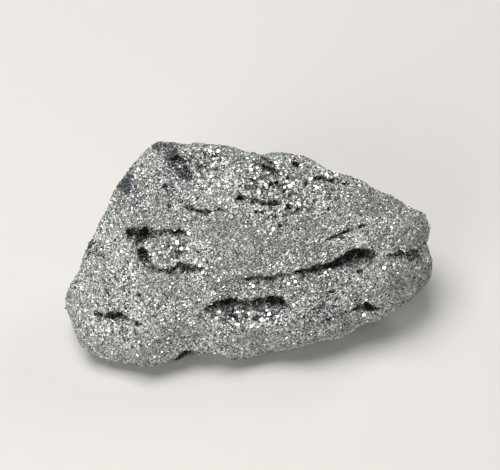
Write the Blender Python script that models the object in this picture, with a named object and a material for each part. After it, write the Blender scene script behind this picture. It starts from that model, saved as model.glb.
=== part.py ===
"""A hand specimen of massive pyrite: one wedge-shaped nugget with ledges, cracks, open vugs and small crystals.

The stone is shaped face-on. In that face frame X runs across the broad face, Y up it and Z out of it, and the
unit is the millimetre. At the end the stone is leaned back onto its flat underside, its origin is put at the
middle of its footprint, and its mesh is scaled to metres, with +Z up.
"""

import math
import random

import bmesh
import bpy
import numpy as np
from mathutils import Euler, Matrix, Vector, noise

NODE = "pyrite_nugget"

# Driving sizes in millimetres, and the angle that the broad face leans back from upright
STONE_LENGTH = 50.0
FACE_BULGE = 6.6
BACK_BULGE = 14.5
FACE_LEAN = math.radians(45)
CENTRE_HEIGHT = 10.6
METRES_PER_MM = 0.001

# The stone's outline as its face is seen, for a length of 50: (across, up) from the middle, anticlockwise
OUTLINE = [
    (24.9, -0.7), (24.3, 1.4), (24.8, 3.4), (24.0, 5.3), (21.6, 6.8), (19.1, 7.7), (17.4, 8.5), (16.2, 10.0),
    (12.9, 11.1), (10.5, 11.7), (8.1, 13.0), (4.7, 13.8), (1.6, 13.8), (-0.8, 14.2), (-3.0, 14.8), (-6.1, 14.8),
    (-9.6, 15.1), (-12.5, 15.2), (-13.8, 14.6), (-15.1, 13.4), (-16.8, 10.9), (-18.6, 8.2), (-19.6, 5.9),
    (-20.9, 2.9), (-22.3, 1.0), (-24.2, -3.4), (-25.2, -5.6), (-25.1, -7.7), (-24.1, -10.5), (-23.3, -12.6),
    (-21.7, -14.2), (-19.2, -15.1), (-15.8, -15.3), (-12.8, -14.9), (-10.8, -14.6), (-8.4, -14.1), (-5.5, -13.8),
    (-3.5, -14.0), (-0.8, -14.3), (2.4, -13.7), (5.9, -12.7), (10.7, -11.5), (15.2, -10.3), (17.5, -9.0),
    (19.8, -7.7), (22.2, -6.6), (23.6, -5.4), (24.8, -3.9),
]
OUTLINE_LENGTH = 50.0

# How far out of the face's plane the rim lies: (angle round the outline in degrees, out)
RIM_OUT = [(-180, 0.4), (-150, 1.6), (-110, 2.0), (-60, 1.4), (-25, -1.5), (0, -3.5), (35, -4.0), (80, -3.0),
           (120, -3.4), (150, -1.4), (180, 0.4)]
BOXINESS = 2.7

# Natural breaks that flatten the form: (direction across, up, out; distance from the middle; share removed)
BREAKS = [
    ((0.10, 0.10, 1.0), 6.5, 0.75),
    ((-0.62, 0.30, 0.72), 14.8, 0.70),
    ((0.20, -0.78, 0.60), 11.8, 0.70),
    ((0.72, -0.38, 0.58), 17.4, 0.60),
    ((0.34, 0.72, 0.60), 11.6, 0.60),
    ((-0.30, -0.72, 0.62), 17.2, 0.70),
    ((0.15, 0.62, -0.76), 13.4, 0.85),
    ((-0.78, 0.30, -0.55), 17.8, 0.85),
    ((0.70, 0.42, -0.58), 20.6, 0.85),
    ((0.62, -0.30, -0.72), 18.4, 0.80),
    ((0.34, 0.05, -0.94), 13.6, 0.80),
    ((-0.35, 0.30, -0.88), 12.6, 0.80),
    ((-0.80, -0.42, -0.42), 23.2, 0.75),
]
# How far off the rim's plane a break reaches its full share
RIM_KEPT = 4.5

# Soft lumps and hollows on the face: (across, up, radius, height)
SWELLS = [
    (-16.0, -9.0, 8.0, 0.9), (15.0, 4.6, 8.0, 0.9), (-13.0, 8.0, 5.0, 0.6), (8.0, -10.0, 8.0, 0.5),
    (-8.8, 12.2, 2.6, -1.3), (-6.0, 9.6, 3.4, -0.6), (-10.8, 0.6, 4.2, -0.8), (4.0, 8.6, 5.5, -0.5),
    (-13.2, 13.2, 2.4, 0.7), (-4.6, 13.8, 3.0, 0.6), (9.6, 10.6, 3.0, 0.5), (-8.2, -12.6, 3.0, -0.9),
    (0.5, 1.5, 5.0, 0.4), (20.0, -3.4, 4.5, 0.5), (-20.5, 2.0, 3.0, -0.4), (4.2, 13.4, 2.4, 0.4),
]

# Ledges: the rock below each line is set back from the rock above: (line across and up, drop, reach below)
LEDGES = [
    ([(-4.0, -3.9), (1.0, -3.2), (5.7, -2.9), (9.2, -1.8), (12.7, -0.6), (15.0, 0.3), (17.0, 0.0)], 1.15, 5.0),
    ([(18.0, -0.6), (20.0, -0.2), (23.0, 0.6), (26.0, 1.6)], 0.6, 3.0),
    ([(-7.0, -7.6), (-4.5, -6.5), (-0.3, -6.6), (3.2, -5.9), (6.0, -7.6)], 0.9, 3.0),
    ([(-9.0, 6.0), (-2.0, 5.8), (4.0, 6.7), (11.5, 6.6)], -0.55, 3.5),
    ([(-22.0, -7.8), (-18.0, -7.9), (-14.5, -9.2)], 0.45, 2.5),
    ([(10.0, 1.7), (13.0, 3.0), (16.5, 4.0)], 0.3, 2.0),
]

# Cracks and hollows on the face: name, (across, up, half width, depth) along the mouth, how far the deep end
# climbs, and how far the floor runs out below as a shelf, as a share of the half width
CRACKS = [
    ("lip", [(-3.4, -3.7, .10, .7), (-1.6, -3.4, .25, 1.2), (1.4, -3.3, .30, 1.6), (4.2, -3.0, .32, 2.2),
             (6.6, -2.6, .42, 2.6), (9.2, -1.9, .45, 3.0), (11.6, -1.2, .55, 3.4), (13.2, -0.4, .90, 4.0),
             (14.5, 0.1, 1.10, 4.4), (15.8, 0.0, .80, 3.4), (17.0, -0.3, .20, 1.2)], 0.40, 0.8),
    ("lip_end", [(18.2, -0.3, .12, .7), (19.2, -0.3, .45, 1.6), (20.4, -0.4, .30, 1.2), (21.6, -0.2, .55, 1.8),
                 (22.8, 0.3, .35, 1.4), (24.1, 1.1, .45, 1.6), (25.4, 1.7, .4, 1.2)], 0.2, 0.5),
    ("slot", [(-6.2, -7.5, .15, .8), (-5.3, -7.1, .45, 2.0), (-4.3, -6.7, .70, 3.0), (-2.6, -6.6, .65, 3.4),
              (-1.0, -7.0, .50, 3.2), (0.6, -6.9, .60, 3.4), (2.0, -6.5, .75, 3.6), (3.4, -6.3, .75, 3.4),
              (4.6, -7.0, .60, 2.4), (5.5, -7.7, .15, .9)], 0.50, 1.3),
    ("hollow_top", [(-16.6, 3.2, .15, .8), (-15.8, 2.9, .80, 2.2), (-14.6, 2.6, 1.1, 2.8), (-13.4, 2.4, .80, 2.4),
                    (-12.4, 2.7, .40, 1.6), (-10.9, 3.0, .60, 2.2), (-9.4, 2.8, .50, 1.8), (-8.2, 2.3, .12, .8)],
     0.2, 0.7),
    ("hollow_side", [(-14.7, 2.4, .60, 2.0), (-14.7, 0.9, .32, 1.6), (-14.3, -0.5, .60, 2.2), (-13.6, -1.5, .40, 1.6),
                     (-12.2, -2.2, .20, .9), (-10.6, -2.2, .32, 1.1), (-9.4, -1.9, .50, 1.5), (-8.4, -2.1, .25, 1.0),
                     (-7.3, -2.0, .42, 1.3), (-6.2, -1.9, .1, .6)], 0.1, 0.0),
    ("corner_crack", [(-21.1, -7.8, .15, .7), (-20.4, -8.3, .35, 1.4), (-19.5, -8.7, .20, 1.1),
                      (-18.5, -8.1, .45, 1.9), (-17.3, -8.4, .50, 1.9), (-16.4, -9.1, .32, 1.3),
                      (-15.2, -9.3, .32, 1.2), (-14.2, -9.7, .1, .6)], 0.3, 0.8),
    ("seam", [(10.0, 1.7, .08, .5), (11.6, 2.4, .22, 1.2), (13.2, 3.1, .24, 1.3), (14.8, 3.6, .16, .9),
              (16.0, 3.9, .07, .5)], 0.3, 0.6),
    ("split", [(0.9, 12.7, .12, .6), (1.6, 12.0, .32, 1.6), (2.6, 11.3, .30, 1.8), (3.5, 10.7, .34, 1.6),
               (4.0, 10.1, .12, .7)], 0.2, 0.6),
    ("split_foot", [(3.2, 9.8, .15, .7), (3.7, 9.1, .38, 1.4), (4.4, 8.3, .26, 1.0), (5.2, 7.8, .1, .6)], 0.1, 0.0),
    ("nick", [(5.7, 12.8, .1, .5), (6.2, 12.1, .30, 1.1), (6.7, 11.3, .1, .6)], 0.0, 0.0),
    ("crest_gap", [(8.8, 9.9, .1, .5), (9.6, 10.2, .30, 1.1), (11.0, 9.8, .25, 1.0), (12.2, 10.0, .34, 1.2),
                   (13.2, 9.6, .1, .6)], 0.2, 0.3),
    ("knob_groove", [(-11.4, 15.8, .5, 1.3), (-10.9, 14.4, .75, 1.8), (-10.5, 13.2, 1.0, 2.4),
                     (-9.8, 12.0, .85, 2.0), (-8.7, 10.9, .50, 1.3), (-7.9, 9.7, .15, .6)], 0.0, 0.0),
    ("left_nick", [(-23.2, 2.0, .3, 1.0), (-22.4, 1.4, .60, 1.6), (-21.4, 0.4, .35, 1.0), (-20.0, -0.4, .30, 1.0),
                   (-18.9, -0.9, .1, .5)], 0.1, 0.3),
    ("low_vug", [(13.5, -7.9, .12, .7), (14.4, -7.4, .50, 1.9), (15.5, -7.1, .70, 2.6), (16.6, -7.2, .60, 2.2),
                 (17.5, -7.6, .12, .8)], 0.3, 0.6),
    ("low_chip", [(9.5, -9.3, .08, .5), (10.6, -8.8, .24, .9), (11.9, -8.4, .20, .8), (13.0, -7.9, .08, .5)], 0.2, 0.8),
    ("under_notch", [(-11.2, -15.0, .3, 1.0), (-9.4, -14.0, .75, 2.4), (-8.1, -13.6, .95, 3.0),
                     (-6.8, -13.9, .60, 2.2), (-5.4, -14.2, .2, .9)], 0.3, 0.0),
    ("broken_line", [(-8.8, 6.2, .1, .5), (-8.3, 6.2, .38, 1.3), (-7.4, 5.7, .14, .6), (-6.2, 5.5, .38, 1.4),
                     (-5.0, 5.8, .18, .9), (-3.8, 5.8, .24, .9), (-2.6, 5.7, .08, .5)], 0.1, 0.4),
    ("pocket_line", [(-2.2, 6.9, .1, .6), (-1.5, 7.2, .45, 1.5), (-0.4, 7.5, .30, 1.0), (0.7, 6.9, .40, 1.4),
                     (2.2, 6.7, .26, 1.0), (3.4, 6.8, .26, 1.0), (4.4, 6.9, .1, .5)], 0.1, 0.3),
]
BACK_CRACKS = [
    ("back_seam", [(-14.0, 6.5, .12, .7), (-11.0, 7.4, .50, 1.8), (-8.0, 7.2, .35, 1.4), (-5.0, 8.4, .60, 2.0),
                   (-2.4, 8.6, .12, .7)], -0.2, 0.4),
    ("back_vug", [(4.0, 7.2, .2, .9), (6.0, 7.0, .90, 2.6), (8.2, 7.6, .75, 2.2), (10.0, 7.2, .2, .9)], -0.2, 0.4),
    ("back_split", [(13.0, 3.4, .12, .7), (15.0, 2.6, .42, 1.5), (17.2, 2.9, .35, 1.3), (19.0, 2.2, .1, .6)],
     0.0, 0.0),
    ("back_corner", [(-19.0, 0.6, .12, .6), (-17.6, 1.6, .45, 1.5), (-16.0, 1.8, .40, 1.3), (-14.6, 2.6, .1, .6)],
     0.0, 0.0),
]

# Small round pits: (across, up, radius)
PITS = [
    (10.9, -5.1, .40), (-14.7, -5.5, .36), (-13.6, 5.0, .30), (5.2, 6.3, .42), (1.6, 5.5, .32), (7.8, 9.4, .36),
    (8.6, 6.9, .32), (14.6, -2.4, .45), (-15.8, -4.3, .28), (-9.4, 8.0, .32), (-11.4, 5.8, .26), (1.0, -3.9, .30),
]

# Patches of larger crystals: (on the face, across, up, spread along, spread up, count, crystal size)
CRYSTAL_PATCHES = [
    (True, -10.8, 0.5, 2.5, 1.5, 7, 1.1), (True, -0.4, -8.1, 4.2, .5, 5, 0.9), (True, 9.5, -2.9, 4.5, .5, 4, 0.9),
    (True, 5.8, 8.8, 3.4, 2.0, 9, 1.1), (True, 11.0, 8.4, 2.4, 1.0, 4, 1.1), (True, -20.0, 0.6, 1.6, 1.0, 3, 0.95),
    (True, 15.4, -8.1, 1.4, .3, 2, 1.0), (True, -18.0, -9.6, 2.4, .4, 2, 0.85), (True, -5.0, 13.0, 4.0, .8, 4, 0.9),
    (True, 21.5, -0.9, 2.0, .7, 2, 0.85), (False, 7.0, 8.4, 3.0, 1.2, 3, 1.1), (False, -9.0, 9.0, 3.5, 1.0, 3, 1.0),
]
CRYSTAL_SEED = 7
CRYSTAL_SUNK = 0.22

# Relief of the rock: (wavelength, height), from rolling lumps down to coarse grain
RELIEF = [(9.0, 0.55), (4.2, 0.36), (1.9, 0.17)]

FORM_SUBDIVISIONS = 6
FORM_KEPT = 0.163
# A crack's cross-section, from its upper side down: (beside, inward, moved by the shelf). Beside is in half
# widths and inward in depths, where -1 inward stands proud of the stone
CRACK_SECTION = [(-0.95, -1.0, 0), (-1.0, 0.3, 0), (-0.4, 0.95, 0), (0.5, 0.85, 0), (1.0, 0.2, 1), (0.95, -1.0, 1)]
CRACK_SWAY = 0.28
CRACK_VARIES = (0.62, 1.25)
SECTION_VARIES = (0.72, 1.22)
PROUD = 1.6
FAR_OFF = 60.0
CUT_BOX = 200.0


def clear_scene():
    for obj in list(bpy.data.objects):
        bpy.data.objects.remove(obj, do_unlink=True)


def new_collection(name):
    collection = bpy.data.collections.new(name)
    bpy.context.scene.collection.children.link(collection)
    return collection


def new_object(name, bm, collection):
    """A mesh object made from a bmesh, which is freed."""
    mesh = bpy.data.meshes.new(name)
    bmesh.ops.recalc_face_normals(bm, faces=bm.faces)
    bm.to_mesh(mesh)
    bm.free()
    obj = bpy.data.objects.new(name, mesh)
    collection.objects.link(obj)
    return obj


def around(table, angle):
    """Reads (angle in degrees, value) rows that start at -180 and end at 180, at angles in radians."""
    degrees, values = zip(*table)
    return np.interp(np.degrees(angle), degrees, values)


def outline_radius(angle):
    """Distance from the stone's middle to its outline, at angles in radians."""
    points = np.array(OUTLINE) * STONE_LENGTH / OUTLINE_LENGTH
    angles = np.arctan2(points[:, 1], points[:, 0])
    order = np.argsort(angles)
    reach = np.hypot(points[:, 0], points[:, 1])[order]
    return np.interp(angle, angles[order], reach, period=2 * math.pi)


def pillow(directions):
    """Turns unit directions into points of a closed pillow that fills the outline."""
    flat = np.hypot(directions[:, 0], directions[:, 1])
    angle = np.arctan2(directions[:, 1], directions[:, 0])
    share = flat ** (2 / BOXINESS)
    lift = np.abs(directions[:, 2]) ** (2 / BOXINESS)
    rim = around(RIM_OUT, angle)
    # The rim's own offset fades towards the middle, where all angles meet
    rim_here = rim * share ** 1.5
    bulge = np.where(directions[:, 2] > 0, FACE_BULGE - rim_here, -BACK_BULGE - rim_here)
    reach = outline_radius(angle) * share
    points = np.column_stack([reach * np.cos(angle), reach * np.sin(angle), rim_here + bulge * lift])
    return break_flat(points, np.clip(np.abs(bulge * lift) / RIM_KEPT, 0, 1))


def break_flat(points, weight):
    """Flattens the form towards its natural breaks, and leaves the rim, where the weight is 0, as it is."""
    for direction, distance, share in BREAKS:
        normal = np.array(direction) / np.linalg.norm(direction)
        over = np.clip(points @ normal - distance, 0, None) * weight
        points = points - share * over[:, None] * normal
    return points


def ledge_drop(across, up, out):
    """How far the rock at a point of the face is set back by the ledges above it."""
    drop = 0.0
    if out < -2.0:
        return drop
    for line, height, reach in LEDGES:
        xs, ys = zip(*line)
        below = np.interp(across, xs, ys) - up
        ends = min((across - xs[0]) / 1.5, (xs[-1] - across) / 1.5, 1.0)
        if ends <= 0 or below <= -0.4:
            continue
        step = min((below + 0.4) / 0.8, 1.0)
        drop += height * step * ends * math.exp(-max(below, 0) / reach)
    return drop


def swell_height(across, up, out):
    if out < -2.0:
        return 0.0
    return sum(height * math.exp(-((across - x) ** 2 + (up - y) ** 2) / radius ** 2)
               for x, y, radius, height in SWELLS)


def relief_height(point):
    """Lumpy relief: rounded lumps with sharper creases between them."""
    height = 0.0
    for wavelength, size in RELIEF:
        value = noise.noise(Vector(point) / wavelength)
        height += size * (0.55 - 2.0 * abs(value)) + size * 0.6 * value
    return height


def rock_form(collection):
    """The stone's whole form with its ledges, lumps and relief, before anything is cut into it."""
    bm = bmesh.new()
    bmesh.ops.create_icosphere(bm, subdivisions=FORM_SUBDIVISIONS, radius=1.0)
    points = pillow(np.array([v.co for v in bm.verts]))
    for vert, point in zip(bm.verts, points):
        vert.co = point
    bm.normal_update()
    normals = [v.normal.copy() for v in bm.verts]
    for vert, normal in zip(bm.verts, normals):
        x, y, z = vert.co
        facing = max(normal.z, 0.0)
        inward = ledge_drop(x, y, z) * facing
        outward = swell_height(x, y, z) * facing + relief_height(vert.co)
        vert.co += normal * (outward - inward)
    obj = new_object(NODE, bm, collection)
    thin = obj.modifiers.new("Thin", "DECIMATE")
    thin.ratio = FORM_KEPT
    return settle(obj)


def settle(obj):
    """Makes the modified shape the object's own mesh."""
    graph = bpy.context.evaluated_depsgraph_get()
    mesh = bpy.data.meshes.new_from_object(obj.evaluated_get(graph))
    obj.modifiers.clear()
    old, obj.data = obj.data, mesh
    bpy.data.meshes.remove(old)
    mesh.name = obj.name
    return obj


def surface_at(obj, across, up, front):
    """Where a line square to the face meets the stone, and the surface's normal there, if it does."""
    side = 1.0 if front else -1.0
    hit, place, normal, _ = obj.ray_cast(Vector((across, up, side * FAR_OFF)), Vector((0, 0, -side)))
    return (place, normal) if hit else (None, None)


def ragged(stations, dice):
    """The stations of a crack with one more between each two, all pushed a little off a smooth line."""
    rough = []
    for here, following in zip(stations, stations[1:]):
        rough.append(here)
        rough.append([(a + b) / 2 for a, b in zip(here, following)])
    rough.append(stations[-1])
    return [(across, up + dice.uniform(-1, 1) * CRACK_SWAY * min(half_width * 2, 1),
             half_width * dice.uniform(*CRACK_VARIES), depth * dice.uniform(*CRACK_VARIES))
            for across, up, half_width, depth in rough]


def mouth_places(stone, stations, front):
    """Where the stations lie on the stone; past its outline the mouth runs on level with the last one on it."""
    hits = [surface_at(stone, across, up, front)[0] for across, up, _, _ in stations]
    found = [i for i, place in enumerate(hits) if place]
    places = []
    for i, (across, up, _, _) in enumerate(stations):
        nearest = min(found, key=lambda f: abs(f - i))
        places.append(Vector((across, up, hits[nearest].z)))
    return places


def crack_cutter(name, stone, stations, climb, shelf, front, collection):
    """A tapering blade that follows the mouth of a crack: wide outside, narrow at its deep end."""
    out_sign = 1.0 if front else -1.0
    dice = random.Random(name)
    stations = ragged(stations, dice)
    places = mouth_places(stone, stations, front)
    inward = Vector((0, climb, -out_sign)).normalized()
    bm = bmesh.new()
    rings = []
    for i, (_, _, half_width, depth) in enumerate(stations):
        along = places[min(i + 1, len(places) - 1)] - places[max(i - 1, 0)]
        along.z = 0.0
        beside = along.cross(Vector((0, 0, out_sign))).normalized()
        if beside.y > 0:
            beside.negate()
        ring = []
        for aside, sunk, on_shelf in CRACK_SECTION:
            wide = (aside + shelf * on_shelf) * half_width * dice.uniform(*SECTION_VARIES)
            reach = sunk * (depth * dice.uniform(*SECTION_VARIES) if sunk > 0 else PROUD)
            ring.append(bm.verts.new(places[i] + beside * wide + inward * reach))
        rings.append(ring)
    sides = len(CRACK_SECTION)
    for ring, following in zip(rings, rings[1:]):
        for k in range(sides):
            after = (k + 1) % sides
            bm.faces.new((ring[k], ring[after], following[after], following[k]))
    bm.faces.new(rings[0])
    bm.faces.new(rings[-1])
    bmesh.ops.triangulate(bm, faces=bm.faces)
    return new_object("cut_" + name, bm, collection)


def pit_cutter(number, stone, across, up, radius, collection):
    """A small rounded pit."""
    place, normal = surface_at(stone, across, up, True)
    bm = bmesh.new()
    bmesh.ops.create_icosphere(bm, subdivisions=1, radius=radius)
    stretch = Matrix.Diagonal((1.2, 0.9, 1.7, 1.0))
    bmesh.ops.transform(bm, verts=bm.verts, matrix=Matrix.Translation(place - normal * radius * 0.4) @ stretch)
    return new_object(f"cut_pit_{number}", bm, collection)


def crystal(number, stone, spot, front, size, dice, collection):
    """One crystal, a cube that stands a corner or an edge out of the rock."""
    place, normal = surface_at(stone, *spot, front)
    bm = bmesh.new()
    bmesh.ops.create_cube(bm, size=size * dice.uniform(0.75, 1.15))
    turn = Euler([dice.uniform(0, math.pi) for _ in range(3)]).to_matrix().to_4x4()
    bmesh.ops.transform(bm, verts=bm.verts, matrix=Matrix.Translation(place - normal * size * CRYSTAL_SUNK) @ turn)
    return new_object(f"crystal_{number}", bm, collection)


def combine(stone, other, operation):
    """Joins the other shape to the stone, or cuts it out."""
    modifier = stone.modifiers.new(other.name, "BOOLEAN")
    modifier.operation = operation
    modifier.solver = "EXACT"
    modifier.object = other
    return settle(stone)


def carve(stone, cutters):
    """Cuts the cracks, vugs and pits."""
    shapes = [crack_cutter(*crack[:1], stone, *crack[1:], True, cutters) for crack in CRACKS]
    shapes += [crack_cutter(*crack[:1], stone, *crack[1:], False, cutters) for crack in BACK_CRACKS]
    shapes += [pit_cutter(i, stone, x, y, radius, cutters) for i, (x, y, radius) in enumerate(PITS)]
    for shape in shapes:
        combine(stone, shape, "DIFFERENCE")
    return shapes


def grow_crystals(stone, cutters):
    """Fuses the larger crystals to the rock that they grew from."""
    dice = random.Random(CRYSTAL_SEED)
    shapes = []
    for front, x, y, spread_along, spread_up, count, size in CRYSTAL_PATCHES:
        for _ in range(count):
            spot = (x + dice.uniform(-1, 1) * spread_along, y + dice.uniform(-1, 1) * spread_up)
            shapes.append(crystal(len(shapes), stone, spot, front, size, dice, cutters))
    for shape in shapes:
        combine(stone, shape, "UNION")
    return shapes


def keep_largest_body(bm):
    """Drops any chip that the cuts have left loose beside the stone."""
    unseen = set(bm.verts)
    bodies = []
    while unseen:
        start = unseen.pop()
        body = [start]
        for vert in body:
            near = {edge.other_vert(vert) for edge in vert.link_edges} & unseen
            unseen -= near
            body.extend(near)
        bodies.append(body)
    bodies.sort(key=len)
    for body in bodies[:-1]:
        bmesh.ops.delete(bm, geom=body, context="VERTS")


def lean_and_rest(stone):
    """Leans the stone back, cuts the flat that it rests on, and centres its footprint on the origin."""
    bm = bmesh.new()
    bm.from_mesh(stone.data)
    keep_largest_body(bm)
    lean = Matrix.Rotation(math.pi / 2 - FACE_LEAN, 4, "X")
    bmesh.ops.transform(bm, verts=bm.verts, matrix=Matrix.Translation((0, 0, CENTRE_HEIGHT)) @ lean)
    everything = bm.verts[:] + bm.edges[:] + bm.faces[:]
    cut = bmesh.ops.bisect_plane(bm, geom=everything, plane_co=(0, 0, 0), plane_no=(0, 0, -1), clear_outer=True,
                                 dist=1e-4)
    rim = [edge for edge in cut["geom_cut"] if isinstance(edge, bmesh.types.BMEdge)]
    bmesh.ops.holes_fill(bm, edges=rim)
    for vert in bm.verts:
        if abs(vert.co.z) < 1e-3:
            vert.co.z = 0.0
    bmesh.ops.triangulate(bm, faces=bm.faces)
    xs = [v.co.x for v in bm.verts]
    ys = [v.co.y for v in bm.verts]
    middle = Vector(((min(xs) + max(xs)) / 2, (min(ys) + max(ys)) / 2, 0))
    to_length = STONE_LENGTH / (max(xs) - min(xs))
    to_origin = Matrix.Scale(METRES_PER_MM * to_length, 4) @ Matrix.Translation(-middle)
    bmesh.ops.transform(bm, verts=bm.verts, matrix=to_origin)
    bmesh.ops.recalc_face_normals(bm, faces=bm.faces)
    bm.to_mesh(stone.data)
    bm.free()


def pyrite_material():
    """Silver-grey metallic pyrite."""
    material = bpy.data.materials.new("pyrite")
    material.use_nodes = True
    shader = material.node_tree.nodes["Principled BSDF"]
    shader.inputs["Base Color"].default_value = (0.38, 0.39, 0.36, 1.0)
    shader.inputs["Metallic"].default_value = 0.85
    shader.inputs["Roughness"].default_value = 0.42
    return material


def main():
    clear_scene()
    parts = new_collection("Pyrite nugget")
    cutters = new_collection("Cutters")
    stone = rock_form(parts)
    shapes = carve(stone, cutters)
    shapes += grow_crystals(stone, cutters)
    for shape in shapes:
        bpy.data.objects.remove(shape, do_unlink=True)
    lean_and_rest(stone)
    stone.data.materials.clear()
    stone.data.materials.append(pyrite_material())


main()
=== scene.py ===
"""The looks of the pyrite nugget: its grained rock, crust of small crystals, materials, light and camera.

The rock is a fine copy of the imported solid, roughened to grains of about a third of a millimetre. The crust
is some tens of thousands of small cubes and octahedra that stand out of it, as the grains of real pyrite do.
Lengths named MM are in millimetres, and every other length is in metres. Places and spreads on the broad
face are millimetres across it and up it, from its middle.
"""

import math

import bpy
import numpy as np
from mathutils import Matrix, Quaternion, Vector, noise
from mathutils.bvhtree import BVHTree

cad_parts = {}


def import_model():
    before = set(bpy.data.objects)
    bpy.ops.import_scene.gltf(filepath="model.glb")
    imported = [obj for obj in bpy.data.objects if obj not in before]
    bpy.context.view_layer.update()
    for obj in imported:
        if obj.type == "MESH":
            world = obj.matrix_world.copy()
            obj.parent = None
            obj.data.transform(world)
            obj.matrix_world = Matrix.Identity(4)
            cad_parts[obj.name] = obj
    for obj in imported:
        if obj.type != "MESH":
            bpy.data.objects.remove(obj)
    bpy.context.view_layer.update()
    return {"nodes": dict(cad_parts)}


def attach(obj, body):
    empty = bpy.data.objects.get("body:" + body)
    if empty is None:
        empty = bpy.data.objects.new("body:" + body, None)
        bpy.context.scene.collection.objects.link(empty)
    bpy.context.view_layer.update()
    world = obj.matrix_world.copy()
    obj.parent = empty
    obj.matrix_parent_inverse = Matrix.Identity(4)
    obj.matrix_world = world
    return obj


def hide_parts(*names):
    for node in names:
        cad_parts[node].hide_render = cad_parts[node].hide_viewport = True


NODE = "pyrite_nugget"
BODY = "root"
MM = 0.001

# The broad face: its middle in the frame, how far it leans back from upright, and the ways up and out of it
FACE_MIDDLE_MM = (0.16, -0.79, 10.41)
FACE_LEAN = math.radians(45)
FACE_UP = (0.0, math.sin(FACE_LEAN), math.cos(FACE_LEAN))
FACE_OUT = (0.0, -math.cos(FACE_LEAN), math.sin(FACE_LEAN))
# How facing forward falls off as a point turns away, and how far round the zones of the face reach
FACING_POWER = 0.5
FRONT_REACH = 1.6

# Seeds of the random draws
JITTER_SEED = 3
RAY_SEED = 5
CRUST_SEED = 11
LARGE_SEED = 12

# Shifts that take each pattern of noise from a place of its own, and the share of a shift in the second axis
TARNISH_EDGE_SHIFT = 2.2
COARSE_SHIFT = 3.1
BRIDGE_SHIFT = 5.7
GAP_SHIFT = 8.3
TARNISH_SHIFT = 12.6
SHIFT_SECOND = 0.7

# Rock: the grain of its mesh, its smoothing, how far it lies inside the solid, its roughening as
# (wavelength, height), and how far each point moves at random
ROCK_VOXEL_MM = 0.24
ROCK_SMOOTHING = 2
ROCK_SMOOTHING_FACTOR = 0.5
ROCK_INSET_MM = 0.10
ROCK_RELIEF_MM = [(1.7, 0.10), (0.75, 0.09)]
GRAIN_JITTER_MM = 0.07

# Thin cracks, which the fine mesh would bridge: how far under it they are looked for, how much empty room
# makes one, and how deep it opens
CRACK_SEARCH_MM = 4.0
CRACK_LEAST_MM = 0.10
CRACK_DEEPEST_MM = 0.6
# Crystals bridge the thin cracks here and there: the length of such a stretch, and the levels of noise
# between which a crack goes from bridged to open
BRIDGE_MM = 1.1
BRIDGE_LEVELS = (-0.30, 0.0)

# Gaps among the coarse crystals, sunk and painted in shade: their wavelength and depth, the level of noise
# where they begin, their edge, and how coarse the crystals are where gaps begin and where they are full
GAP_WAVELENGTH_MM = 0.95
GAP_DEPTH_MM = 0.60
GAP_LEVEL = 0.20
GAP_EDGE = 0.05
GAP_COARSE = (0.35, 1.0)
# Spots that are nearly all gaps, so sunk and painted in shade: (across, up, spread across, spread up), and
# how far they lower the level
DARK_SPOTS = [
    (-21.4, 0.8, 1.2, 1.4), (-9.3, -2.0, 2.6, 0.5), (13.0, 10.6, 2.4, 0.8), (6.0, 5.8, 2.4, 0.6),
    (19.8, 0.0, 1.0, 0.6), (22.4, -0.3, 0.8, 0.7),
]
SPOT_LOWERS_LEVEL = 0.30
# Single small gaps between crystals, sunk and painted black as shade: (across, up, half as wide, half as
# high), and their edge
SMALL_GAPS = [
    (1.5, 12.2, 0.50, 0.35), (2.3, 11.6, 0.50, 0.35), (3.1, 10.9, 0.45, 0.40), (1.8, 10.4, 0.50, 0.22),
    (3.9, 9.1, 0.30, 0.45), (4.5, 8.2, 0.25, 0.30), (9.0, 10.1, 0.50, 0.25), (11.1, 9.8, 0.30, 0.28),
    (12.7, 9.6, 0.50, 0.28), (3.0, 6.6, 0.80, 0.20), (0.8, 5.5, 0.22, 0.25), (3.9, 3.6, 0.25, 0.22),
    (3.3, 4.9, 0.22, 0.28), (10.3, 5.8, 0.22, 0.22), (6.1, 12.1, 0.32, 0.45), (-0.7, 12.9, 0.50, 0.25),
    (-7.8, 6.1, 0.28, 0.28), (-5.8, 5.4, 0.24, 0.30), (-11.2, 8.9, 0.22, 0.20), (-10.5, 6.1, 0.22, 0.18),
    (7.4, 9.4, 0.25, 0.35), (6.6, 7.6, 0.22, 0.30),
]
SMALL_GAP_EDGE = (0.25, 0.45)

# Coarse crystals stand further apart, on ground that is lower and painted in shade. The painted shade begins
# at the lesser of these two coarsenesses and is darkest at the greater
COARSE_THINNING = 0.62
COARSE_GROUND_MM = 0.16
COARSE_GROUND_SHADE = 0.9
COARSE_GROUND_FROM = (0.3, 1.0)

# Where crystals have grown into the cracks: (across, up, spread across, spread up, how much), how far the
# walls then stand in, how much less painted shade they get, and from which shelter to which both of these
# grow
CRACKS_GROWN_IN = [
    (-10.2, 2.8, 2.8, 1.0, 1.0), (-8.4, -2.0, 2.6, 0.9, 0.8), (6.5, -3.0, 4.5, 0.9, 0.6),
    (-0.6, -7.0, 1.6, 1.3, 0.5), (0.6, 7.0, 2.8, 0.9, 0.7), (-6.2, 5.8, 2.4, 0.7, 0.6),
    (20.8, -0.2, 2.6, 0.8, 0.5),
]
GROWN_IN_MM = 0.30
GROWN_IN_LIGHTER = 0.5
GROWN_IN_SHELTER = (0.2, 0.5)

# How sheltered a point is, told by rays: their number and reach, how far outside the mesh they start, and
# how strongly they keep to the way the point faces
SHELTER_RAYS = 12
SHELTER_REACH_MM = 4.0
OUTSIDE_MM = 0.3
RAY_FORWARD = 1.05
# A crack's floor that faces up near the mouth is painted as catching light: how much less sheltered, and so
# less painted in shade, it counts, how far up it faces, and from which shelter, deep down, to which, near the
# mouth
FLOOR_LIT = 0.7
FLOOR_FACES_UP = (0.75, 0.95)
FLOOR_SHELTER = (0.75, 0.45)
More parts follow.
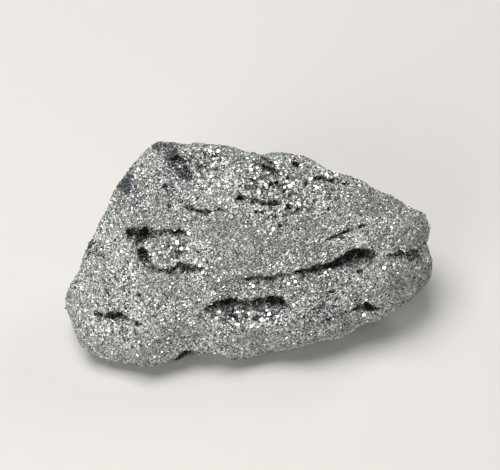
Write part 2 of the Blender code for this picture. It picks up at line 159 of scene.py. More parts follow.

# From which shelter to which a point gets painted shade, and the same in the holes, which have a soft edge
DARK_SHELTER = (0.25, 0.9)
HOLE_SHELTER = (0.15, 0.5)
HOLE_EDGE = (0.15, 0.6)
# Holes painted in shade right to their mouths: (across, up, spread across, spread up)
DARK_HOLES = [
    (14.5, -0.1, 2.0, 1.3), (-15.0, 2.6, 1.6, 1.1), (-14.1, -0.6, 0.6, 0.9), (-10.2, 12.9, 1.2, 1.4),
    (16.6, -7.2, 1.1, 0.8), (-3.8, -6.2, 1.6, 0.6), (2.8, -6.0, 1.8, 0.7), (-8.0, -13.8, 2.4, 1.2),
    (2.2, 11.6, 1.6, 1.2), (-17.8, -8.2, 1.6, 0.9), (-20.2, -8.1, 1.0, 0.7), (-21.4, 0.7, 1.2, 1.0),
    (4.0, 8.9, 1.0, 1.0),
]

# Forms of a crystal of size 1: its points and faces. An octahedron is 1.2 from point to point
CUBE_POINTS = np.array([(x, y, z) for x in (-1, 1) for y in (-1, 1) for z in (-1, 1)]) * 0.5
CUBE_FACES = np.array([(0, 1, 3, 2), (4, 6, 7, 5), (0, 4, 5, 1), (2, 3, 7, 6), (0, 2, 6, 4), (1, 5, 7, 3)])
CUBE = (CUBE_POINTS, CUBE_FACES)
OCTAHEDRON_POINTS = np.array([(1, 0, 0), (-1, 0, 0), (0, 1, 0), (0, -1, 0), (0, 0, 1), (0, 0, -1)]) * 0.6
OCTAHEDRON_FACES = np.array([
    (0, 2, 4), (2, 1, 4), (1, 3, 4), (3, 0, 4), (2, 0, 5), (1, 2, 5), (3, 1, 5), (0, 3, 5),
])
OCTAHEDRON = (OCTAHEDRON_POINTS, OCTAHEDRON_FACES)

# Crust: the name of each habit, its form, how many crystals are tried, and how many a piece may hold
HABITS = [
    ("crust_cubes", CUBE, 30000, 15000),
    ("crust_octahedra", OCTAHEDRON, 44000, 22000),
]
# The smallest and largest crystals where fine and where coarse. Small ones come oftener by this power
FINE_MM = (0.14, 0.27)
COARSE_MM = (0.30, 0.56)
SMALL_OFTENER = 1.6
# How far a crystal follows the coarseness, and how much smaller it is under tarnish and in cracks
COARSE_FOLLOWED = (0.45, 1)
SMALLER_TARNISHED = 0.35
SMALLER_DEEP = 0.35
# As shares of a crystal's size: how uneven its three sizes are, how far it is sunk, and how high it has to
# stand off the floor. Then how few crystals grow in thin cracks and gaps
UNEVEN = (0.75, 1.2)
SUNK = 0.30
OFF_FLOOR = 0.9
BARE_THINNING = 0.9

# Where the crystals are coarse on the broad face: (across, up, spread across, spread up, how coarse)
COARSE_ZONES = [
    (3.0, 10.0, 9.5, 4.4, 1.0), (-6.0, 12.6, 6.0, 2.8, 0.9), (12.0, 9.6, 4.0, 1.8, 0.9),
    (-10.0, 0.6, 4.2, 2.6, 0.8), (0.0, -8.2, 6.0, 1.2, 1.0), (9.0, -2.6, 7.0, 1.0, 0.65),
    (21.5, -0.4, 3.0, 1.6, 0.8), (15.3, -8.0, 2.6, 1.0, 0.8), (-18.0, -9.2, 3.4, 1.2, 0.7),
    (-20.0, 0.0, 3.4, 1.6, 0.8), (12.0, 2.0, 3.0, 0.7, 0.6), (-18.5, -7.0, 6.5, 7.5, 0.42),
    (8.0, -7.0, 12.0, 4.0, 0.38), (-12.5, 10.5, 4.0, 3.0, 0.4),
]
# Coarse patches: their wavelength, the levels of noise that they grow between, and their strength behind
# the broad face and everywhere
COARSE_PATCH_MM = 6.0
COARSE_PATCH_LEVELS = (0, 0.45)
COARSE_BEHIND = 0.9
COARSE_EVERYWHERE = 0.12

# Single large crystals that catch the light: (across, up, size)
LARGE_CRYSTALS_MM = [
    (5.2, 8.8, 0.60), (5.6, 9.2, 0.45), (4.8, 9.4, 0.40), (10.2, 10.4, 0.50), (10.8, 10.1, 0.40),
    (0.4, -4.3, 0.45), (0.0, -4.0, 0.35), (15.0, -8.2, 0.50), (17.7, -8.6, 0.40), (12.2, 1.4, 0.45),
    (-17.4, -0.2, 0.45), (-16.9, 0.2, 0.40), (3.4, 12.0, 0.45), (-4.0, 6.6, 0.40), (-6.6, -1.6, 0.45),
    (-1.6, -9.4, 0.45), (13.4, 10.4, 0.40), (6.8, 10.9, 0.45), (-13.4, 14.2, 0.45), (3.0, 3.2, 0.35),
    (-9.6, 1.4, 0.50), (-8.0, 2.6, 0.45), (-9.0, 0.6, 0.40), (-10.6, 0.2, 0.45), (-7.4, 0.8, 0.40),
    (17.5, -1.9, 0.40), (-2.6, -8.6, 0.40), (1.4, -8.8, 0.45), (3.6, -8.3, 0.40), (7.2, -2.6, 0.40),
    (9.4, -2.0, 0.40), (5.9, -3.7, 0.45), (6.7, -3.4, 0.40), (5.0, -4.0, 0.40), (8.0, 9.8, 0.45),
    (9.0, 9.2, 0.40), (12.0, 9.0, 0.45), (2.0, 9.0, 0.45), (0.6, 9.9, 0.40), (-3.2, 9.4, 0.40),
    (6.4, 6.4, 0.45), (2.8, 5.4, 0.45), (-5.4, 13.6, 0.45), (-3.4, -7.9, 0.40), (-2.4, -7.7, 0.35),
    (-1.7, -7.8, 0.35), (-1.0, -7.7, 0.40), (-0.2, -7.9, 0.35), (0.5, -8.1, 0.40), (1.5, -8.0, 0.35),
    (2.5, -8.0, 0.40), (4.6, -8.3, 0.40), (-12.6, 1.3, 0.35), (-11.5, 0.9, 0.40), (-11.9, 0.1, 0.35),
    (-10.3, -0.8, 0.35), (-9.0, -0.6, 0.35), (-8.3, 0.0, 0.40), (-7.2, -1.2, 0.35), (-6.2, -2.5, 0.40),
    (8.8, 8.6, 0.40), (11.6, 10.4, 0.40), (7.6, 8.2, 0.35),
]
# How uneven their three sizes are, how far they turn from the way that catches the light, and how far above
# the middle of the face the search for the rock under them starts
LARGE_UNEVEN = (0.65, 1.0)
LARGE_TURN = 0.10
LARGE_FROM_MM = 30.0

# Smooth, dark, slightly blue tarnish: (across, up, spread across, spread up, how strong)
TARNISH_ZONES = [
    (-12.2, 14.8, 2.6, 1.0, 1.0), (-10.6, 13.2, 1.1, 2.2, 1.0), (-8.8, 10.4, 1.6, 2.0, 0.75),
    (-16.6, 9.4, 2.2, 3.0, 0.9), (-14.2, 2.7, 1.4, 1.0, 0.9), (-21.6, 1.0, 1.0, 1.2, 0.9),
    (8.0, -7.0, 7.5, 4.5, 0.38), (-11.8, 9.6, 4.8, 3.8, 0.38), (-17.5, -5.6, 3.5, 3.8, 0.30),
]
# Tarnish behind the broad face: the wavelength of its patches, the levels of noise that they grow between,
# and their strength
TARNISH_PATCH_MM = 7.0
TARNISH_PATCH_LEVELS = (0.30, 0.60)
TARNISH_BEHIND = 0.8
# All tarnish is ragged: by how long a wavelength, how strong it is on average, and how much that varies
TARNISH_EDGE_MM = 1.3
TARNISH_MEAN = 0.9
TARNISH_RAGGED = 0.9

# Tones of a grain: glinting, its own from bright to dull, worn smooth, under tarnish, and black, both for
# black grains and as painted shade deep in cracks, holes and gaps
GLINTING = (0.95, 0.97, 0.92)
BRIGHT = (0.76, 0.79, 0.73)
WORN = (0.29, 0.31, 0.285)
DULL = (0.05, 0.055, 0.048)
TARNISHED = (0.055, 0.062, 0.075)
BLACK_AND_PAINTED_SHADE = (0.035, 0.035, 0.034)

# What turns a grain to a tone, and by how much, as (from low, from high, to low, to high): streaks, its own
# chance, how far its tarnish is above its chance, and how deep the painted shade of its place is
WORN_BY_STREAK = (0.42, 0.62, 0.0, 0.6)
GLINTING_BY_CHANCE = (0.20, 0.50, 0.0, 1.0)
BLACK_BY_CHANCE = (0.25, 0.0, 0.0, 0.8)
TARNISHED_OVER_CHANCE = (-0.15, 0.20, 0.0, 0.9)
PAINTED_SHADE_BY_DEPTH = (0.15, 0.85, 0.0, 0.92)
DARKENED_BY_CHANCE = (0.45, 0.85, 1.0, 0.1)
# How rough a grain of the rock and a crystal are by their chance, in the same way
ROCK_ROUGHNESS = (0.75, 1.0, 0.55, 0.30)
CRYSTAL_ROUGHNESS = (0.74, 0.98, 0.50, 0.22)
METALLIC = 0.92

# The rock's drawn grains: the size of a cell of one tone and of one facet, and how far a facet tilts
TONE_CELL_MM = 0.17
FACET_CELL_MM = 0.15
FACET_TILT = 0.6
# Worn streaks: how steeply they rise to the right, how far they are stretched, and their scale and detail
STREAK_RISE = math.radians(14)
STREAK_STRETCH = (4, 1, 1)
STREAK_SCALE = 420.0
STREAK_DETAIL = 3.0

# Lights: where each is from the middle of the face, its size and its power
KEY_LIGHT = Vector((-0.14, 0.02, 0.50))
LIGHTS = {
    "key": (KEY_LIGHT, 0.34, 3.05),
    "rim": (Vector((0.30, 0.30, 0.30)), 0.14, 0.5),
    "fill": (Vector((-0.30, -0.46, 0.20)), 0.34, 2.0),
}
SURROUND = (0.12, 0.12, 0.123, 1)

FLOOR_WIDTH = 3.0
FLOOR_TONE = (0.62, 0.60, 0.57, 1)
FLOOR_ROUGHNESS = 0.8

CAMERA_DISTANCE_MM = 187.5
CAMERA_ELEVATION = math.radians(45)
CAMERA_LENS = 100.0
CAMERA_SENSOR = 36.0
CAMERA_NEAREST = 0.01
# Where the middle of the face lies in the picture, in pixels of the 500 by 470 frame
PICTURE_WIDTH_PX = 500
PICTURE_MIDDLE_PX = (250, 235)
FACE_MIDDLE_PX = (250.5, 253)


def to_face(points):
    """Frame positions in metres as (across, up, out) of the broad face, in millimetres."""
    offset = points / MM - np.array(FACE_MIDDLE_MM)
    return np.column_stack([offset[:, 0], offset @ np.array(FACE_UP), offset @ np.array(FACE_OUT)])


def spread(face, across, up, wide, high, amount=1.0):
    """How much points of the face lie in a soft-edged zone, from 0 to the zone's amount."""
    return amount * np.exp(-((face[:, 0] - across) / wide) ** 2 - ((face[:, 1] - up) / high) ** 2)


def in_zones(face, zones):
    """How much points of the face lie in the strongest zone there."""
    return np.maximum.reduce([spread(face, *zone) for zone in zones])


def ramp(values, low, high):
    """Values as a share of the way from low to high, from 0 to 1."""
    return np.clip((values - low) / (high - low), 0, 1)


def noise_at(points, wavelength_mm, shift=0.0):
    """Smooth noise at frame positions."""
    scale = 1.0 / (wavelength_mm * MM)
    offset = Vector((shift, shift * SHIFT_SECOND, -shift))
    return np.array([noise.noise(Vector(p) * scale + offset) for p in points])


def facing(normals):
    """How much each point faces the way the broad face does, from 0 to 1."""
    return np.clip(normals @ np.array(FACE_OUT), 0, 1) ** FACING_POWER


def front_share(normals):
    """Which points a zone of the broad face reaches, from 0 on the back to 1 on all that faces forward."""
    return np.minimum(1, FRONT_REACH * facing(normals))


def coarseness(points, normals):
    """How coarse the crystals are, from 0 to 1: as seen on the broad face, and in patches elsewhere."""
    front = facing(normals)
    seen = in_zones(to_face(points), COARSE_ZONES)
    patches = ramp(noise_at(points, COARSE_PATCH_MM, COARSE_SHIFT), *COARSE_PATCH_LEVELS)
    return np.clip(
        seen * front + patches * (1 - front) * COARSE_BEHIND + patches * COARSE_EVERYWHERE, 0, 1)


def tarnish(points, normals):
    """How strong the dark, smooth tarnish is: in its zones on the broad face, and in patches elsewhere."""
    front = facing(normals)
    seen = in_zones(to_face(points), TARNISH_ZONES)
    patches = ramp(noise_at(points, TARNISH_PATCH_MM, TARNISH_SHIFT), *TARNISH_PATCH_LEVELS)
    ragged = TARNISH_MEAN + TARNISH_RAGGED * noise_at(points, TARNISH_EDGE_MM, TARNISH_EDGE_SHIFT)
    return (seen * front_share(normals) + patches * (1 - front) * TARNISH_BEHIND) * ragged


def mesh_arrays(mesh):
    """A mesh's vertex positions and normals."""
    places = np.empty(len(mesh.vertices) * 3)
    mesh.vertices.foreach_get("co", places)
    normals = np.empty(len(mesh.vertices) * 3)
    mesh.vertex_normals.foreach_get("vector", normals)
    return places.reshape(-1, 3), normals.reshape(-1, 3)


def mesh_edges(mesh):
    """The vertices at the two ends of each edge."""
    ends = np.empty(len(mesh.edges) * 2, dtype=np.int32)
    mesh.edges.foreach_get("vertices", ends)
    return ends.reshape(-1, 2)


def surface_tree(mesh):
    """A mesh's surface, for rays to hit."""
    return BVHTree.FromPolygons([v.co for v in mesh.vertices], [p.vertices for p in mesh.polygons])


def widen(values, edges):
    """Each vertex's value, or a neighbour's where that is greater."""
    wider = values.copy()
    np.maximum.at(wider, edges[:, 0], values[edges[:, 1]])
    np.maximum.at(wider, edges[:, 1], values[edges[:, 0]])
    return wider


def room_under(places, normals, tree):
    """Millimetres of empty room beneath each point of the mesh, where it bridges a crack of the solid."""
    above = OUTSIDE_MM * MM
    rooms = np.zeros(len(places))
    for i, (place, normal) in enumerate(zip(places, normals)):
        distance = tree.ray_cast(Vector(place + normal * above), Vector(-normal), CRACK_SEARCH_MM * MM)[3]
        if distance is not None:
            rooms[i] = (distance - above) / MM
    return np.where(rooms > CRACK_LEAST_MM, np.clip(rooms, 0, CRACK_DEEPEST_MM), 0)


def shelter(places, normals, tree):
    """How hidden each point is, from 0 to 1: the share of its rays that hit, made less on lit floors."""
    rays = np.random.default_rng(RAY_SEED).normal(size=(SHELTER_RAYS, 3))
    rays /= np.linalg.norm(rays, axis=1)[:, None]
    hidden = np.zeros(len(places))
    for i, (place, normal) in enumerate(zip(places, normals)):
        start = Vector(place + normal * OUTSIDE_MM * MM)
        blocked = 0
        for ray in rays:
            way = Vector(ray + normal * RAY_FORWARD)
            if tree.ray_cast(start, way, SHELTER_REACH_MM * MM)[0] is not None:
                blocked += 1
        hidden[i] = blocked / SHELTER_RAYS
    return hidden * (1 - FLOOR_LIT * ramp(normals[:, 2], *FLOOR_FACES_UP) * ramp(hidden, *FLOOR_SHELTER))


def add_attribute(mesh, name, values):
    """Keeps a number for each vertex, for the materials to read."""
    layer = mesh.attributes.new(name, "FLOAT", "POINT")
    layer.data.foreach_set("value", np.asarray(values, dtype=np.float32))


def read_attribute(mesh, name):
    """The numbers that a mesh keeps for its vertices."""
    values = np.empty(len(mesh.vertices), dtype=np.float32)
    mesh.attributes[name].data.foreach_get("value", values)
    return values


def fine_copy(node):
    """A copy of the solid as an even, fine mesh."""
    rock = bpy.data.objects.new("grained_rock", node.data.copy())
    bpy.context.scene.collection.objects.link(rock)
    remesh = rock.modifiers.new("Grain", "REMESH")
    remesh.mode = "VOXEL"
    remesh.voxel_size = ROCK_VOXEL_MM * MM
    smooth = rock.modifiers.new("Weathering", "SMOOTH")
    smooth.factor = ROCK_SMOOTHING_FACTOR
    smooth.iterations = ROCK_SMOOTHING
    graph = bpy.context.evaluated_depsgraph_get()
    mesh = bpy.data.meshes.new_from_object(rock.evaluated_get(graph))
    rock.modifiers.clear()
    rock.data = mesh
    return rock


def crystal_gaps(places, normals, coarse):
    """How far each point lies in a gap among the coarse crystals, from 0 to 1. Gaps are sunk and painted in
    shade.
    """
    face = to_face(places)
    front = front_share(normals)
    spots = in_zones(face, DARK_SPOTS) * front
    level = GAP_LEVEL - SPOT_LOWERS_LEVEL * spots
    pattern = ramp(noise_at(places, GAP_WAVELENGTH_MM, GAP_SHIFT), level, level + GAP_EDGE)
    single = ramp(in_zones(face, SMALL_GAPS), *SMALL_GAP_EDGE) * front
    return np.maximum(pattern * np.maximum(ramp(coarse, *GAP_COARSE), spots), single)


def grown_in(places, normals, hidden):
    """How far crystals have grown into the cracks, from 0 to 1."""
    reached = front_share(normals) * ramp(hidden, *GROWN_IN_SHELTER)
    return in_zones(to_face(places), CRACKS_GROWN_IN) * reached


def roughened(places, normals, push):
    """Points pushed outward by so many millimetres, roughened, and kept from going under the floor."""
    for wavelength, height in ROCK_RELIEF_MM:
        push = push + height * noise_at(places, wavelength)
    jitter = np.random.default_rng(JITTER_SEED).uniform(-1, 1, places.shape) * GRAIN_JITTER_MM * MM
    moved = places + normals * push[:, None] * MM + jitter
    moved[:, 2] = np.maximum(moved[:, 2], 0)
    return moved


def depth_of_dark(places, normals, hidden, grown):
    """How much painted shade each point gets for want of light, from 0 to 1."""
    holes = in_zones(to_face(places), DARK_HOLES) * front_share(normals)
    in_holes = ramp(hidden, *HOLE_SHELTER) * ramp(holes, *HOLE_EDGE)
    return np.maximum(ramp(hidden, *DARK_SHELTER), in_holes) * (1 - GROWN_IN_LIGHTER * grown)


def make_rock(node):
    """The grained rock: a rough, fine copy of the solid, with open cracks, gaps among coarse crystals, and
    the marks for its painted shade.
    """
    rock = fine_copy(node)
    mesh = rock.data
    smooth_places, normals = mesh_arrays(mesh)
    tree = surface_tree(node.data)
    coarse = coarseness(smooth_places, normals)
    hidden = shelter(smooth_places, normals, tree)
    grown = grown_in(smooth_places, normals, hidden)
    unbridged = ramp(noise_at(smooth_places, BRIDGE_MM, BRIDGE_SHIFT), *BRIDGE_LEVELS)
    room = room_under(smooth_places, normals, tree) * unbridged
    gaps = crystal_gaps(smooth_places, normals, coarse)
    push = -ROCK_INSET_MM - room - GAP_DEPTH_MM * gaps - COARSE_GROUND_MM * coarse + GROWN_IN_MM * grown
    places = roughened(smooth_places, normals, push)
    mesh.vertices.foreach_set("co", places.ravel())
    mesh.update()
    mesh.polygons.foreach_set("use_smooth", np.zeros(len(mesh.polygons), dtype=bool))
    # Painted shade: sheltered places, holes, thin cracks, gaps and the ground among coarse crystals are
    # marked to be painted dark
    thin = ramp(room, 0, 2 * CRACK_LEAST_MM)
    shade_depth = depth_of_dark(places, normals, hidden, grown)
    ground_shade = COARSE_GROUND_SHADE * ramp(coarse, *COARSE_GROUND_FROM)
    add_attribute(mesh, "shade_depth", np.maximum(shade_depth, gaps))
    add_attribute(mesh, "painted_shade", np.maximum.reduce([shade_depth, thin, gaps, ground_shade]))
    add_attribute(mesh, "bare", widen(np.maximum(thin, gaps), mesh_edges(mesh)))
    add_attribute(mesh, "tarnish", tarnish(places, normals))
    add_attribute(mesh, "coarse", coarse)
    return rock


def random_turns(count, dice):
    """Random rotation matrices, from random unit quaternions."""
    q = dice.normal(size=(count, 4))
    q /= np.linalg.norm(q, axis=1)[:, None]
    w, x, y, z = q.T
    return np.stack([
        np.stack([1 - 2 * (y * y + z * z), 2 * (x * y - z * w), 2 * (x * z + y * w)], axis=1),
        np.stack([2 * (x * y + z * w), 1 - 2 * (x * x + z * z), 2 * (y * z - x * w)], axis=1),
        np.stack([2 * (x * z - y * w), 2 * (y * z + x * w), 1 - 2 * (x * x + y * y)], axis=1),
    ], axis=1)


def scatter(mesh, count, dice):
    """Random points on a mesh, even by area, with their normals and a vertex of the face they lie on."""
    mesh.calc_loop_triangles()
    corners = np.empty(len(mesh.loop_triangles) * 3, dtype=np.int32)
    mesh.loop_triangles.foreach_get("vertices", corners)
    corners = corners.reshape(-1, 3)
    places, normals = mesh_arrays(mesh)
    a, b, c = (places[corners[:, i]] for i in range(3))
    areas = np.linalg.norm(np.cross(b - a, c - a), axis=1)
    picked = dice.choice(len(corners), count, p=areas / areas.sum())
    u, v = dice.random((2, count))
    flip = u + v > 1
    u = np.where(flip, 1 - u, u)
    v = np.where(flip, 1 - v, v)
    here = a[picked] + (b - a)[picked] * u[:, None] + (c - a)[picked] * v[:, None]
    vertex = corners[picked, 0]
    return here, normals[vertex], vertex


def crystal_piece(name, form, centres, turns, sizes, values):
    """One mesh of many crystals, each a closed form of its own."""
    points, faces = form
    placed = np.einsum("nij,nvj->nvi", turns, points[None] * sizes[:, None, :]) + centres[:, None, :]
    each = points.shape[0]
    count = len(centres)
    corners = (faces[None] + (np.arange(count) * each)[:, None, None]).reshape(-1, faces.shape[1])
    mesh = bpy.data.meshes.new(name)
    mesh.from_pydata(placed.reshape(-1, 3), [], corners.tolist())
    mesh.update()
    for key, numbers in values.items():
        add_attribute(mesh, key, np.repeat(numbers, each))
    obj = bpy.data.objects.new(name, mesh)
    bpy.context.scene.collection.objects.link(obj)
    return obj


def crystal_sizes(coarse, smooth, painted_shade, dice):
    """The mean size of each crystal in metres. Most are small, and smaller under tarnish and in cracks."""
    count = len(coarse)
    spans = dice.random(count) ** SMALL_OFTENER
    fine = FINE_MM[0] + (FINE_MM[1] - FINE_MM[0]) * spans
    big = COARSE_MM[0] + (COARSE_MM[1] - COARSE_MM[0]) * spans
    size = fine + (big - fine) * coarse * dice.uniform(*COARSE_FOLLOWED, count)
    return size * (1 - SMALLER_TARNISHED * smooth) * (1 - SMALLER_DEEP * painted_shade) * MM


def grow_crystals(rock, tried, dice):
    """Centres, turns and sizes of those crystals tried that do grow, and what their material reads."""
    here, normal, vertex = scatter(rock, tried, dice)
    coarse = coarseness(here, normal)
    smooth = tarnish(here, normal)
    # The crystals take on the painted shade of the rock where they grow
    painted_shade = read_attribute(rock, "shade_depth")[vertex]
    size = crystal_sizes(coarse, smooth, painted_shade, dice)
    sizes = size[:, None] * dice.uniform(*UNEVEN, (tried, 3))
    centres = here - normal * (size * SUNK)[:, None]
    turns = random_turns(tried, dice)
    missing = np.maximum(BARE_THINNING * read_attribute(rock, "bare")[vertex], COARSE_THINNING * coarse)
    grows = dice.random(tried) > missing
    picked = np.flatnonzero(grows & (centres[:, 2] > size * OFF_FLOOR))
    values = {"tarnish": smooth[picked], "painted_shade": painted_shade[picked], "coarse": coarse[picked]}
    return centres[picked], turns[picked], sizes[picked], values


def make_crust(rock):
    """The crust of small crystals, coarser by the cracks and hollows than on the open faces."""
    dice = np.random.default_rng(CRUST_SEED)
    pieces = []
    for habit, form, tried, most in HABITS:
        centres, turns, sizes, values = grow_crystals(rock.data, tried, dice)
        for number, start in enumerate(range(0, len(centres), most)):
            some = slice(start, start + most)
            pieces.append(crystal_piece(
                f"{habit}_{number + 1}", form, centres[some], turns[some], sizes[some],
                {key: numbers[some] for key, numbers in values.items()}))
    return pieces


def turned_to(direction, count, dice):
    """Rotation matrices that turn a crystal's face nearly to a direction, and by any angle about it."""
    turns = []
    for _ in range(count):
        towards = direction + Vector(dice.normal(size=3)) * LARGE_TURN
        spin = Quaternion((0, 0, 1), dice.uniform(0, 2 * math.pi))
        turns.append((towards.to_track_quat("Z", "Y") @ spin).to_matrix())
    return np.array(turns)


def make_large_crystals(rock):
    """The single large crystals of the broad face, each half sunk, with a face that catches the light."""
    dice = np.random.default_rng(LARGE_SEED)
    tree = surface_tree(rock.data)
    up = Vector(FACE_UP)
    out = Vector(FACE_OUT)
    centres = []
    for across, height, _ in LARGE_CRYSTALS_MM:
        above = Vector(FACE_MIDDLE_MM) + Vector((across, 0, 0)) + up * height + out * LARGE_FROM_MM
        centres.append(tree.ray_cast(above * MM, -out)[0])
    count = len(centres)
    widths = np.array([size for _, _, size in LARGE_CRYSTALS_MM])
    sizes = widths[:, None] * dice.uniform(*LARGE_UNEVEN, (count, 3)) * MM
    halfway = (out + KEY_LIGHT.normalized()).normalized()
    turns = turned_to(halfway, count, dice)
    values = {"tarnish": np.zeros(count), "painted_shade": np.zeros(count), "coarse": np.ones(count)}
    return crystal_piece("large_crystals", CUBE, np.array(centres), turns, sizes, values)


def attribute(tree, name):
    """A number that the mesh keeps for its vertices."""
    node = tree.nodes.new("ShaderNodeAttribute")
    node.attribute_name = name
    return node.outputs["Fac"]


def map_range(tree, value, limits):
    """A value carried from one range to another: (from low, from high, to low, to high)."""
    node = tree.nodes.new("ShaderNodeMapRange")
    for name, limit in zip(("From Min", "From Max", "To Min", "To Max"), limits):
        node.inputs[name].default_value = limit
    tree.links.new(value, node.inputs["Value"])
    return node.outputs["Result"]


def arithmetic(tree, operation, one, other):
    """The result of an operation on two sockets."""
    node = tree.nodes.new("ShaderNodeMath")
    node.operation = operation
    tree.links.new(one, node.inputs[0])
    tree.links.new(other, node.inputs[1])
    return node.outputs["Value"]


def multiply(tree, one, other):
    """The product of two sockets."""
    return arithmetic(tree, "MULTIPLY", one, other)


def mix_colour(tree, amount, low, high):
    """Mixes two colours, each a socket or a plain colour."""
    node = tree.nodes.new("ShaderNodeMix")
    node.data_type = "RGBA"
    colour_inputs = [socket for socket in node.inputs if socket.type == "RGBA"]
    for socket, colour in zip(colour_inputs, (low, high)):
        if isinstance(colour, bpy.types.NodeSocket):
            tree.links.new(colour, socket)
        else:
            socket.default_value = (*colour, 1.0)
    tree.links.new(amount, node.inputs["Factor"])
    return next(socket for socket in node.outputs if socket.type == "RGBA")


def cells(tree, coordinates, grain_mm):
    """A random colour for each small cell of the rock."""
    node = tree.nodes.new("ShaderNodeTexVoronoi")
    node.inputs["Scale"].default_value = 1 / (grain_mm * MM)
    tree.links.new(coordinates, node.inputs["Vector"])
    return node.outputs["Color"]


def tilted_normal(tree, random_colour, tilt):
    """The surface's normal, tilted at random in each cell, so that each is a small facet."""
    centred = tree.nodes.new("ShaderNodeVectorMath")
    centred.operation = "MULTIPLY_ADD"
    centred.inputs[1].default_value = (2 * tilt,) * 3
    centred.inputs[2].default_value = (-tilt,) * 3
    tree.links.new(random_colour, centred.inputs[0])
    added = tree.nodes.new("ShaderNodeVectorMath")
    added.operation = "ADD"
    tree.links.new(centred.outputs["Vector"], added.inputs[0])
    tree.links.new(tree.nodes.new("ShaderNodeNewGeometry").outputs["Normal"], added.inputs[1])
    unit = tree.nodes.new("ShaderNodeVectorMath")
    unit.operation = "NORMALIZE"
    tree.links.new(added.outputs["Vector"], unit.inputs[0])
    return unit.outputs["Vector"]


def pyrite_shader(name):
    """A new metal material, with the coordinates that its patterns follow."""
    material = bpy.data.materials.new(name)
    material.use_nodes = True
    tree = material.node_tree
    shader = tree.nodes["Principled BSDF"]
    shader.inputs["Metallic"].default_value = METALLIC
    return material, tree, shader, tree.nodes.new("ShaderNodeTexCoord").outputs["Object"]


def streaks(tree, coordinates):
    """Long soft streaks that rise to the right across the face."""
    mapping = tree.nodes.new("ShaderNodeMapping")
    mapping.vector_type = "TEXTURE"
    mapping.inputs["Rotation"].default_value = (0, -STREAK_RISE, 0)
    mapping.inputs["Scale"].default_value = STREAK_STRETCH
    tree.links.new(coordinates, mapping.inputs["Vector"])
    pattern = tree.nodes.new("ShaderNodeTexNoise")
    pattern.inputs["Scale"].default_value = STREAK_SCALE
    pattern.inputs["Detail"].default_value = STREAK_DETAIL
    tree.links.new(mapping.outputs["Vector"], pattern.inputs["Vector"])
    return pattern.outputs["Fac"]


def grain_colour(tree, coordinates, chance, other_chance):
    """A grain's tone: its own, evener in worn streaks, with more contrast where coarse, then darkened by
    painted shade.
    """
    colour = mix_colour(tree, chance, DULL, BRIGHT)
    worn = map_range(tree, streaks(tree, coordinates), WORN_BY_STREAK)
    colour = mix_colour(tree, worn, colour, WORN)
    coarse = attribute(tree, "coarse")
    glinting = multiply(tree, coarse, map_range(tree, chance, GLINTING_BY_CHANCE))
    colour = mix_colour(tree, glinting, colour, GLINTING)
    black = multiply(tree, coarse, map_range(tree, other_chance, BLACK_BY_CHANCE))
    colour = mix_colour(tree, black, colour, BLACK_AND_PAINTED_SHADE)
    # Each grain tarnishes by its own chance, so that weak tarnish is flecked and strong tarnish solid
    over_chance = arithmetic(tree, "SUBTRACT", attribute(tree, "tarnish"), other_chance)
    colour = mix_colour(tree, map_range(tree, over_chance, TARNISHED_OVER_CHANCE), colour, TARNISHED)
    # Painted shade darkens the grains of sheltered places, holes and gaps; a few grains stay bright even
    # there
    shade_depth = map_range(tree, attribute(tree, "painted_shade"), PAINTED_SHADE_BY_DEPTH)
    darkened = map_range(tree, other_chance, DARKENED_BY_CHANCE)
    return mix_colour(tree, multiply(tree, shade_depth, darkened), colour, BLACK_AND_PAINTED_SHADE)


def rock_material():
    """The rock between the crystals: fine grains, drawn as small facets of their own tone."""
    material, tree, shader, coordinates = pyrite_shader("pyrite_rock")
    parts = tree.nodes.new("ShaderNodeSeparateColor")
    tree.links.new(cells(tree, coordinates, TONE_CELL_MM), parts.inputs["Color"])
    tone = grain_colour(tree, coordinates, parts.outputs["Red"], parts.outputs["Green"])
    roughness = map_range(tree, parts.outputs["Blue"], ROCK_ROUGHNESS)
    normal = tilted_normal(tree, cells(tree, coordinates, FACET_CELL_MM), FACET_TILT)
    tree.links.new(tone, shader.inputs["Base Color"])
    tree.links.new(roughness, shader.inputs["Roughness"])
    tree.links.new(normal, shader.inputs["Normal"])
    return material


def crust_material():
    """The crystals: each has a tone and a polish of its own."""
    material, tree, shader, coordinates = pyrite_shader("pyrite_crust")
    chance = tree.nodes.new("ShaderNodeNewGeometry").outputs["Random Per Island"]
    other = tree.nodes.new("ShaderNodeTexWhiteNoise")
    other.noise_dimensions = "1D"
    tree.links.new(chance, other.inputs["W"])
    tone = grain_colour(tree, coordinates, chance, other.outputs["Value"])
    tree.links.new(tone, shader.inputs["Base Color"])
    tree.links.new(map_range(tree, chance, CRYSTAL_ROUGHNESS), shader.inputs["Roughness"])
    return material


def make_floor():
    """A plain pale floor, wide enough for every view."""
    bpy.ops.mesh.primitive_plane_add(size=FLOOR_WIDTH, location=(0, 0, 0))
    floor = bpy.context.object
    floor.name = "floor"
    material = bpy.data.materials.new("floor")
    material.use_nodes = True
    shader = material.node_tree.nodes["Principled BSDF"]
    shader.inputs["Base Color"].default_value = FLOOR_TONE
    shader.inputs["Roughness"].default_value = FLOOR_ROUGHNESS
    floor.data.materials.append(material)


def aim(obj, target):
    """Turns a light or a camera to look at a point."""
    obj.rotation_euler = (target - obj.location).to_track_quat("-Z", "Y").to_euler()


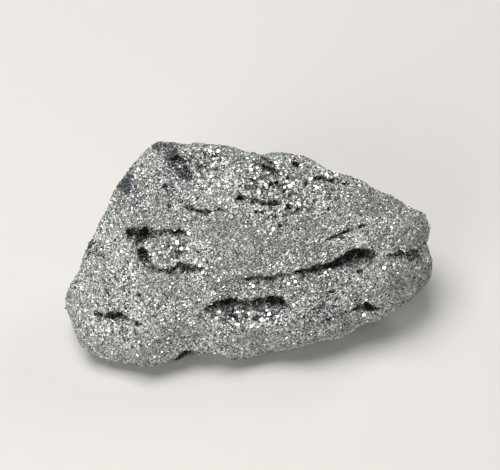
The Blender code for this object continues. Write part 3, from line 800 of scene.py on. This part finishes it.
def make_light(name, place, size, power, target):
    """A square area light that shines on a point."""
    data = bpy.data.lights.new(name, "AREA")
    data.shape = "SQUARE"
    data.size = size
    data.energy = power
    light = bpy.data.objects.new(name, data)
    light.location = place
    aim(light, target)
    bpy.context.scene.collection.objects.link(light)


def make_lights(target):
    """Wide soft lights above and in front, a small one behind on the right, and a grey surround."""
    for name, (offset, size, power) in LIGHTS.items():
        make_light(name, target + offset, size, power, target)
    world = bpy.data.worlds.new("studio")
    world.use_nodes = True
    surround = world.node_tree.nodes["Background"]
    surround.inputs["Color"].default_value = SURROUND
    surround.inputs["Strength"].default_value = 1.0
    bpy.context.scene.world = world


def make_camera(target):
    """The photograph's view: down on the broad face, with the face's middle at its place in the picture."""
    data = bpy.data.cameras.new("camera")
    data.lens = CAMERA_LENS
    data.sensor_width = CAMERA_SENSOR
    data.clip_start = CAMERA_NEAREST
    camera = bpy.data.objects.new("camera", data)
    bpy.context.scene.collection.objects.link(camera)
    towards = Vector((0, -math.cos(CAMERA_ELEVATION), math.sin(CAMERA_ELEVATION)))
    side = Vector((1, 0, 0))
    upward = Vector((0, math.sin(CAMERA_ELEVATION), math.cos(CAMERA_ELEVATION)))
    per_px = CAMERA_SENSOR / CAMERA_LENS * CAMERA_DISTANCE_MM / PICTURE_WIDTH_PX * MM
    shift = side * (PICTURE_MIDDLE_PX[0] - FACE_MIDDLE_PX[0]) * per_px
    shift += upward * (FACE_MIDDLE_PX[1] - PICTURE_MIDDLE_PX[1]) * per_px
    centre = target + shift
    camera.location = centre + towards * CAMERA_DISTANCE_MM * MM
    aim(camera, centre)
    bpy.context.scene.camera = camera


def main():
    """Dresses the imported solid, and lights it."""
    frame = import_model()
    rock = make_rock(frame["nodes"][NODE])
    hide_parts(NODE)
    crust = [*make_crust(rock), make_large_crystals(rock)]
    rock.data.materials.clear()
    rock.data.materials.append(rock_material())
    coat = crust_material()
    for piece in crust:
        piece.data.materials.append(coat)
    for piece in [rock, *crust]:
        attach(piece, BODY)
    target = Vector(FACE_MIDDLE_MM) * MM
    make_floor()
    make_lights(target)
    make_camera(target)
    bpy.context.scene.view_settings.view_transform = "Standard"


main()
